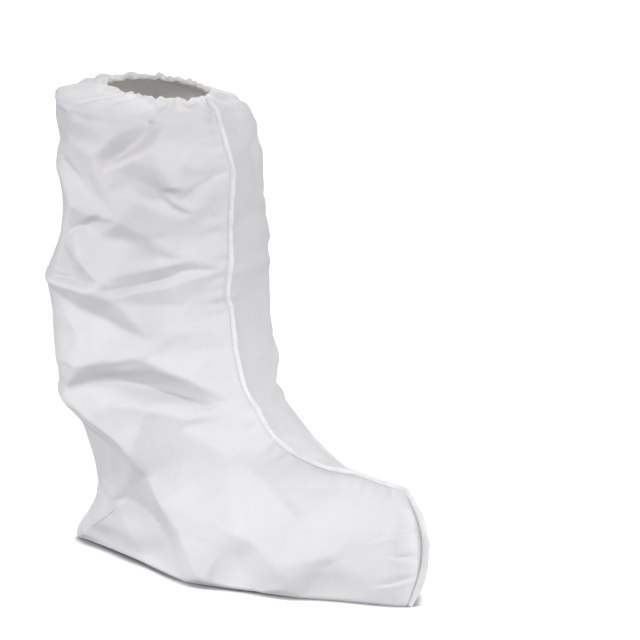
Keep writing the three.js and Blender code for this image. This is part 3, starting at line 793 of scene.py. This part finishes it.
# ---- Materials --------------------------------------------------------------------------------
class Nodes:
    """A node tree with short ways of adding and linking nodes."""

    def __init__(self, tree):
        self.tree = tree

    def add(self, kind, **settings):
        node = self.tree.nodes.new("ShaderNode" + kind)
        for name, value in settings.items():
            setattr(node, name, value)
        return node

    def put(self, node, **values):
        for name, value in values.items():
            key = int(name[1:]) if name[1:].isdigit() else name.replace("_", " ")
            socket = node.inputs[key]
            if isinstance(value, bpy.types.NodeSocket):
                self.tree.links.new(value, socket)
            else:
                socket.default_value = value
        return node

    def math(self, operation, a, b=0.0, c=None):
        node = self.add("Math", operation=operation)
        self.put(node, i0=a, i1=b)
        if c is not None:
            self.put(node, i2=c)
        return node.outputs[0]

    def plus(self, a, b):
        return self.math("ADD", a, b)

    def times(self, a, b):
        return self.math("MULTIPLY", a, b)

    def noise(self, where, scale, detail, roughness=0.5, distortion=0.0):
        node = self.add("TexNoise")
        return self.put(node, Vector=where, Scale=scale, Detail=detail, Roughness=roughness,
                        Distortion=distortion).outputs["Fac"]

    def between(self, value, low, high, new_low=0.0, new_high=1.0):
        node = self.add("MapRange")
        node.interpolation_type = "SMOOTHSTEP"
        return self.put(node, i0=value, i1=low, i2=high, i3=new_low, i4=new_high).outputs[0]

    def mix(self, share, a, b):
        node = self.add("Mix", data_type="RGBA")
        return self.put(node, i0=share, i6=a, i7=b).outputs[2]


def group(name, inputs, outputs):
    tree = bpy.data.node_groups.new(name, "ShaderNodeTree")
    for words, side in ((inputs, "INPUT"), (outputs, "OUTPUT")):
        for word, kind, value in words:
            socket = tree.interface.new_socket(word, in_out=side, socket_type="NodeSocket" + kind)
            if value is not None:
                socket.default_value = value
    nodes = Nodes(tree)
    entry = tree.nodes.new("NodeGroupInput")
    exit_ = tree.nodes.new("NodeGroupOutput")
    return tree, nodes, entry, exit_


def nonwoven_group():
    """Nonwoven cloth: embossed bonds, fibres, cloudy thickness and papery creases, with painted shade
    along the creases.
    """
    tree, n, entry, exit_ = group(
        "nonwoven",
        (("Place", "Vector", None), ("Map", "Vector", None), ("Color", "Color", (0.8, 0.8, 0.8, 1)),
         ("Thin Color", "Color", (0.7, 0.7, 0.75, 1)), ("Cloudiness", "Float", 0.5),
         ("Bond Pitch", "Float", 0.0016), ("Bond Depth", "Float", 0.5), ("Creasing", "Float", 0.5)),
        (("Color", "Color", None), ("Roughness", "Float", None), ("Height", "Float", None)))
    place, cloth_map = entry.outputs["Place"], entry.outputs["Map"]
    # Cloudy thickness in two sizes, and fibres that follow the cloth.
    cloud = n.noise(place, scale=22.0, detail=4.0, roughness=0.6, distortion=0.4)
    blotch = n.noise(place, scale=75.0, detail=3.0, roughness=0.55, distortion=0.6)
    fibre = n.noise(cloth_map, scale=1900.0, detail=3.0, roughness=0.7, distortion=1.5)

    # Round embossed bonds on a diagonal grid.
    scale = n.math("DIVIDE", 1.0, entry.outputs["Bond Pitch"])
    turned = n.add("VectorRotate", rotation_type="Z_AXIS")
    n.put(turned, Vector=cloth_map, Angle=math.radians(45))
    dots = n.add("TexVoronoi", feature="F1")
    n.put(dots, Vector=turned.outputs[0], Scale=scale, Randomness=0.08)
    bond = n.between(dots.outputs["Distance"], 0.16, 0.34, 1.0, 0.0)

    # Fine creases along the edges of uneven cells, kept in patches, and shallow dents.
    bent = n.add("VectorMath", operation="MULTIPLY_ADD")
    swirl = n.add("TexNoise")
    n.put(swirl, Vector=place, Scale=30.0, Detail=2.0)
    n.put(bent, i0=swirl.outputs["Color"], i1=(0.02, 0.02, 0.02), i2=place)
    cells = n.add("TexVoronoi", feature="DISTANCE_TO_EDGE")
    n.put(cells, Vector=bent.outputs[0], Scale=30.0, Randomness=1.0)
    line = n.between(cells.outputs["Distance"], 0.0, 0.075, 1.0, 0.0)
    kept = n.between(n.noise(place, scale=24.0, detail=2.0), 0.5, 0.66)
    crease = n.times(n.times(line, kept), entry.outputs["Creasing"])
    dent = n.noise(place, scale=60.0, detail=3.0, roughness=0.5, distortion=0.8)

    # Thin places, fibres and bonds show a little of the second colour; the fine creases show more of it,
    # as painted shade along their lines.
    thin = n.between(n.plus(n.times(cloud, 0.6), n.times(blotch, 0.4)), 0.35, 0.68)
    thin = n.times(thin, entry.outputs["Cloudiness"])
    speck = n.times(n.between(fibre, 0.3, 0.7), 0.22)
    share = n.plus(thin, n.plus(speck, n.times(bond, 0.16)))
    # Painted shade: the fine creases darken the colour along their lines.
    share = n.plus(share, n.times(crease, 0.35))
    color = n.mix(share, entry.outputs["Color"], entry.outputs["Thin Color"])

    rough = n.plus(n.times(bond, -0.12), n.between(blotch, 0.3, 0.7, 0.5, 0.62))
    height = n.times(bond, n.times(entry.outputs["Bond Depth"], -0.06))
    height = n.plus(height, n.times(fibre, 0.02))
    height = n.plus(height, n.times(crease, -0.3))
    height = n.plus(height, n.times(dent, n.times(entry.outputs["Creasing"], 0.7)))
    n.put(exit_, i0=color, i1=rough, i2=height)
    return tree


def new_material(name):
    """A material with its nodes and its shader."""
    material = bpy.data.materials.new(name)
    material.use_nodes = True
    return material, Nodes(material.node_tree), material.node_tree.nodes["Principled BSDF"]


def cloth_material(name, tree, color, thin_color, glow_color, glow, **values):
    """Cloth of the nonwoven kind; glow is the share of light that passes through it."""
    material, n, shader = new_material(name)
    out = material.node_tree.nodes["Material Output"]
    where = n.add("TexCoord")
    weave = n.add("Group", node_tree=tree)
    # The second colour shows on thin places, fibres and bonds, and as painted shade along the fine
    # creases.
    n.put(weave, Place=where.outputs["Object"], Map=where.outputs["UV"], Color=(*color, 1),
          Thin_Color=(*thin_color, 1), **values)
    bump = n.add("Bump")
    n.put(bump, Strength=1.0, Distance=0.001, Height=weave.outputs["Height"])
    n.put(shader, Base_Color=weave.outputs["Color"], Roughness=weave.outputs["Roughness"],
          Normal=bump.outputs["Normal"])
    shader.inputs["Specular IOR Level"].default_value = 0.3
    shader.inputs["Sheen Weight"].default_value = 0.08
    shader.inputs["Sheen Roughness"].default_value = 0.6
    through_cloth = n.add("BsdfTranslucent")
    through_cloth.inputs["Color"].default_value = (*glow_color, 1)
    both = n.add("MixShader")
    n.put(both, i0=glow, i1=shader.outputs["BSDF"], i2=through_cloth.outputs["BSDF"])
    n.put(out, Surface=both.outputs[0])
    return material


def thread_material():
    """White polyester thread with its twist, darker in colour in the twist's grooves as painted shade.
    """
    material, n, shader = new_material("seam_thread")
    where = n.add("TexCoord")
    twist = n.add("TexWave", wave_type="BANDS", bands_direction="DIAGONAL")
    n.put(twist, Vector=where.outputs["Object"], Scale=900.0, Distortion=1.0, Detail=1.0)
    # Painted shade: the colour is darker where the twist's bump is low, in its grooves.
    painted_twist_shade = n.between(twist.outputs["Fac"], 0.2, 0.8)
    painted_twist_shade = n.mix(painted_twist_shade, (0.66, 0.65, 0.64, 1), (0.80, 0.80, 0.79, 1))
    bump = n.add("Bump")
    n.put(bump, Strength=0.6, Distance=0.0002, Height=twist.outputs["Fac"])
    n.put(shader, Base_Color=painted_twist_shade, Normal=bump.outputs["Normal"])
    n.put(shader, Roughness=n.between(twist.outputs["Fac"], 0.0, 1.0, 0.4, 0.55))
    return material


# ---- Camera, floor and light -------------------------------------------------------------------
AZIMUTH = math.radians(35)    # of the camera, round from the right side toward the toe
ELEVATION = math.radians(14)
DISTANCE = 9.0
VIEW_WIDTH = 0.606635         # metres across the view at that distance
AIM_RIGHT = 0.061611          # middle of the view, right of and above the origin as the camera sees it
AIM_UP = 0.235735
SENSOR = 36                   # millimetres
FLOOR_SIZE = 16
FLOOR_COLOR = (0.31, 0.315, 0.33)
FLOOR_GLOW = 0.9              # how bright the floor is to the camera, whatever light falls on it
CONTACT_SHADOW_REACH = 0.014         # how far the painted contact shadow, a fine dark line where the sole meets the floor, reaches
LAMP_COLOR = (1.0, 0.995, 0.985)
AMBIENT = 0.31
AMBIENT_COLOR = (0.84, 0.84, 1.0)
# Lamps: name, azimuth and height in degrees, distance, size, power, spread in degrees, and the
# height of the place that it shines on. Each lies beyond the cover as seen from that place.
LAMPS = (
    ("high_heel", -60, 32, 6.0, 1.6, 122, 180, 0.2),
    ("high_side", 0, 32, 6.0, 1.6, 116, 180, 0.2),
    ("high_toe", 60, 32, 6.0, 1.6, 98, 180, 0.2),
    ("high_far", 120, 32, 6.0, 1.6, 142, 180, 0.2),
    ("high_back", 200, 32, 6.0, 1.6, 132, 180, 0.2),
    ("low_heel", -50, 2, 1.1, 0.4, 0.46, 60, 0.02),
    ("low_side", 24, 2, 1.1, 0.4, 0.62, 60, 0.02),
    ("low_far", 104, 2, 1.1, 0.4, 0.50, 60, 0.02),
)


def toward(azimuth, elevation):
    """The direction of a place seen from the middle at these angles."""
    return Vector((math.sin(azimuth) * math.cos(elevation), -math.cos(azimuth) * math.cos(elevation),
                   math.sin(elevation)))


def place_camera():
    right = Vector((math.cos(AZIMUTH), math.sin(AZIMUTH), 0))
    back = toward(AZIMUTH, ELEVATION)
    camera_data = bpy.data.cameras.new("camera")
    camera = bpy.data.objects.new("camera", camera_data)
    bpy.context.collection.objects.link(camera)
    camera.location = right * AIM_RIGHT + back.cross(right) * AIM_UP + back * DISTANCE
    camera.rotation_euler = back.to_track_quat("Z", "Y").to_euler()
    camera_data.sensor_width = SENSOR
    camera_data.lens = SENSOR * DISTANCE / VIEW_WIDTH
    bpy.context.scene.camera = camera


def lay_floor():
    """A plain pale floor, with a fine dark line of painted contact shadow where the sole meets it."""
    deselect()
    bpy.ops.mesh.primitive_plane_add(size=FLOOR_SIZE)
    floor = bpy.context.object
    floor.name = "floor"
    paint, n, shader = new_material("floor_paint")
    shader.inputs["Base Color"].default_value = (*FLOOR_COLOR, 1)
    shader.inputs["Roughness"].default_value = 0.9
    shader.inputs["Emission Color"].default_value = (1, 1, 1, 1)
    ray = n.add("LightPath")
    # Painted contact shadow: the camera-only glow fades where ambient occlusion finds the sole close by.
    outside_contact_shadow = n.put(n.add("AmbientOcclusion"), Distance=CONTACT_SHADOW_REACH).outputs["AO"]
    outside_contact_shadow = n.between(outside_contact_shadow, 0.45, 1.0)
    glow = n.times(ray.outputs["Is Camera Ray"], n.times(outside_contact_shadow, FLOOR_GLOW))
    n.put(shader, Emission_Strength=glow)
    floor.data.materials.append(paint)


def light_up():
    """An even pale surrounding, and the lamps."""
    world = bpy.data.worlds.new("studio")
    bpy.context.scene.world = world
    world.use_nodes = True
    background = world.node_tree.nodes["Background"]
    background.inputs["Color"].default_value = (*AMBIENT_COLOR, 1)
    background.inputs["Strength"].default_value = AMBIENT
    for name, azimuth, height, away, size, power, spread, aim_height in LAMPS:
        data = bpy.data.lights.new(name, "AREA")
        data.shape = "DISK"
        data.size = size
        data.energy = power
        data.spread = math.radians(spread)
        data.color = LAMP_COLOR
        lamp = bpy.data.objects.new(name, data)
        bpy.context.collection.objects.link(lamp)
        lamp.visible_camera = False
        side = toward(math.radians(azimuth), math.radians(height))
        lamp.location = Vector((0, 0, aim_height)) + side * away
        lamp.rotation_euler = side.to_track_quat("Z", "Y").to_euler()
    bpy.context.scene.view_settings.view_transform = "Standard"


# ---- Panels, seam and hem ----------------------------------------------------------------------
def panel(name, form, side):
    piece = cloth_grid(name, form)
    if side == RIGHT:
        turn_over(piece)
    thicken(piece, CLOTH, -1)
    return piece


def seam_frame(forms):
    """The seam's root line with its outward and rightward directions, at even steps."""
    line = np.concatenate([forms[RIGHT][:-1, 0], forms[RIGHT][-1]])
    run = distance_along(line)
    steps = np.linspace(0, run[-1], int(run[-1] / SEAM_STEP) + 1)
    line = read_at(line, run, steps)
    along = np.gradient(evened(line[:, None], SEAM_EVENING)[:, 0], axis=0)
    along /= np.linalg.norm(along, axis=1, keepdims=True)
    out = np.cross((0, -1, 0), along)
    out /= np.linalg.norm(out, axis=1, keepdims=True)
    return line, steps, out, np.cross(along, out)


def leaning(line, out, across):
    """The way the seam lies from its root, and the way its right face looks, at each step."""
    lean = SEAM_LEAN * smooth((TWIST_START - line[:, :1]) / LEAN_FADE)
    size = np.sqrt(1 + lean ** 2)
    return (out - across * lean) / size, (across + out * lean) / size


def seam_layer(name, forms, hand):
    """One layer of the standing seam: flat against the other at the stitches, free at its edge."""
    line, steps, out, across = seam_frame(forms)
    toe = (TOE_HEIGHT - line[:, 2]) / TOE_HEIGHT * (line[:, 0] > TWIST_START)
    round_toe = smooth(toe * TOE_CORNERS) * smooth((TOE_FLANGE_END - toe) * TOE_CORNERS)
    lay, face = leaning(line, out, across)
    wave = waves(steps, SEAM_WAVE) * waves(steps, SEAM_SWELL) + waves(steps, SEAM_RIPPLES)
    part = SEAM_PARTING + waves(steps, ((0.2, 1 / 17, hand), (0.1, 1 / 5.3, 2 * hand)))
    edge = 1 + waves(steps, ((0.05, 1 / 6.1, hand), (0.03, 1 / 2.3, 0)))
    reach = SEAM_REACH + TOE_REACH * round_toe
    rows = []
    for share in np.linspace(-SEAM_UNDER, 1, SEAM_STEPS + 1):
        free = smooth(share)
        apart = hand * (SEAM_GAP / 2 + part * free) + wave * free
        far = reach * share * (edge if share > 0 else 1)
        rows.append(line + lay * far[:, None] + face * apart[:, None])
    points = np.stack(rows, axis=1)
    points[:, :, 2] = np.maximum(points[:, :, 2], FLOOR_CLEARANCE + CLOTH / 2)
    piece = cloth_grid(name, points)
    if hand < 0:
        turn_over(piece)
    thicken(piece, CLOTH * SEAM_CLOTH, 0)
    return piece


def stitch():
    """One lock stitch, a short plump length of thread lying along X with its face up."""
    deselect()
    bpy.ops.mesh.primitive_uv_sphere_add(segments=8, ring_count=6, radius=0.5)
    piece = bpy.context.object
    start_edit(piece)
    bpy.ops.transform.rotate(value=math.pi / 2, orient_axis="Y", center_override=(0, 0, 0))
    bpy.ops.transform.resize(value=(STITCH_LENGTH * MM, STITCH_WIDTH * MM, STITCH_WIDTH * MM),
                             center_override=(0, 0, 0))
    end_edit()
    return piece


def stitch_row(forms):
    """Stitches down both faces of the standing seam, a copied mesh for each one."""
    line, steps, out, across = seam_frame(forms)
    lay, face = leaning(line, out, across)
    first = stitch()
    copies = []
    for n in range(int(steps[-1] / STITCH_PITCH) - 1):
        k = int(round((n + STITCH_START) * STITCH_PITCH / steps[1]))
        along = Vector(np.cross(lay[k], face[k]))
        for hand in (-1, 1):
            piece = first.copy()
            piece.data = first.data.copy()
            bpy.context.collection.objects.link(piece)
            side = Vector(face[k]) * hand
            turn = Matrix((along, side.cross(along), side)).transposed().to_4x4()
            place = Vector(line[k] + lay[k] * STITCH_OUT) + side * (SEAM_GAP / 2 + STITCH_RISE)
            piece.data.transform(Matrix.Translation(place * MM) @ turn)
            copies.append(piece)
    bpy.data.objects.remove(first)
    return joined(copies, "seam_stitches")


def rim_loops(forms):
    """The panels' first rows as closed loops round the mouth, at even steps of the rim."""
    loops = np.concatenate([forms[RIGHT][:HEM_ROWS, :-1], forms[LEFT][:HEM_ROWS, ::-1]], axis=1)
    run = distance_along(loops[0])
    steps = np.linspace(0, run[-1], HEM_COLUMNS + 1)[:-1]
    return np.array([read_at(loop, run, steps) for loop in loops]), 2 * math.pi * steps / run[-1]


def hem(forms):
    """The gathered casing that stands on the rim, its bulges carried on from the cloth below."""
    loops, t = rim_loops(forms)
    ring = loops[0]
    for _ in range(HEM_EVENING):
        ring = 0.5 * ring + 0.25 * (np.roll(ring, 1, 0) + np.roll(ring, -1, 0))
    out = np.cross(np.roll(ring, -1, 0) - np.roll(ring, 1, 0), (0, 0, 1))
    out /= np.linalg.norm(out, axis=1, keepdims=True)
    if (out * (ring - ring.mean(axis=0))).sum() < 0:
        out = -out
    bulge, rise = waves(t, HEM_BULGES), waves(t, HEM_RISES)
    points = []
    for row, outward, up in HEM_SECTION:
        k = min(int(row), len(loops) - 2)
        place = loops[k] + (loops[k + 1] - loops[k]) * (row - k)
        high = max(up, 0) / HEM_TOP
        place = place + out * (outward + bulge * high)[:, None]
        place[:, 2] += up + rise * high
        points.append(place)
    points = np.array(points + points[:1])
    points = np.concatenate([points, points[:, :1]], axis=1)
    piece = cloth_grid("top_hem_cloth", points)
    mend(piece, closed=True)
    return piece


forms = {side: gathered_form(side) for side in (RIGHT, LEFT)}
forms = settle(forms)
forms = {side: creased(form, side) for side, form in forms.items()}
for form in forms.values():
    form[:, :, 2] = np.maximum(form[:, :, 2], FLOOR_CLEARANCE)
weave = nonwoven_group()
panel_paint = cloth_material("panel_nonwoven", weave, (0.855, 0.855, 0.865), (0.77, 0.77, 0.80),
                             (0.85, 0.83, 0.78), 0.38, Cloudiness=0.45, Bond_Depth=0.5, Creasing=0.5)
seam_paint = cloth_material("seam_nonwoven", weave, (0.84, 0.84, 0.84), (0.77, 0.765, 0.765),
                            (0.84, 0.82, 0.77), 0.2, Cloudiness=0.3, Bond_Depth=0.7, Creasing=0.2)
hem_paint = cloth_material("hem_nonwoven", weave, (0.85, 0.85, 0.84), (0.76, 0.76, 0.75),
                           (0.84, 0.81, 0.74), 0.2, Cloudiness=0.5, Bond_Depth=0.6, Creasing=0.4)
thread = thread_material()
panels = [panel("right_cloth", forms[RIGHT], RIGHT), panel("left_cloth", forms[LEFT], LEFT)]
layers = [seam_layer("seam_layer_%d" % k, forms, hand) for k, hand in enumerate((-1, 1))]
seam = joined(layers, "front_seam_cloth")
stitches = stitch_row(forms)
top_hem = hem(forms)
for piece, paint, slot, node in ((panels[0], panel_paint, "panel_cloth", "right_panel"),
                                 (panels[1], panel_paint, "panel_cloth", "left_panel"),
                                 (seam, seam_paint, "seam_cloth", "front_seam"),
                                 (stitches, thread, "seam_cloth", None),
                                 (top_hem, hem_paint, "hem_cloth", "top_hem")):
    piece.data.materials.clear()
    piece.data.materials.append(paint)
    shade_smooth(piece)
    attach(piece, "root")
    if node:
        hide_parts(node)
place_camera()
lay_floor()
light_up()
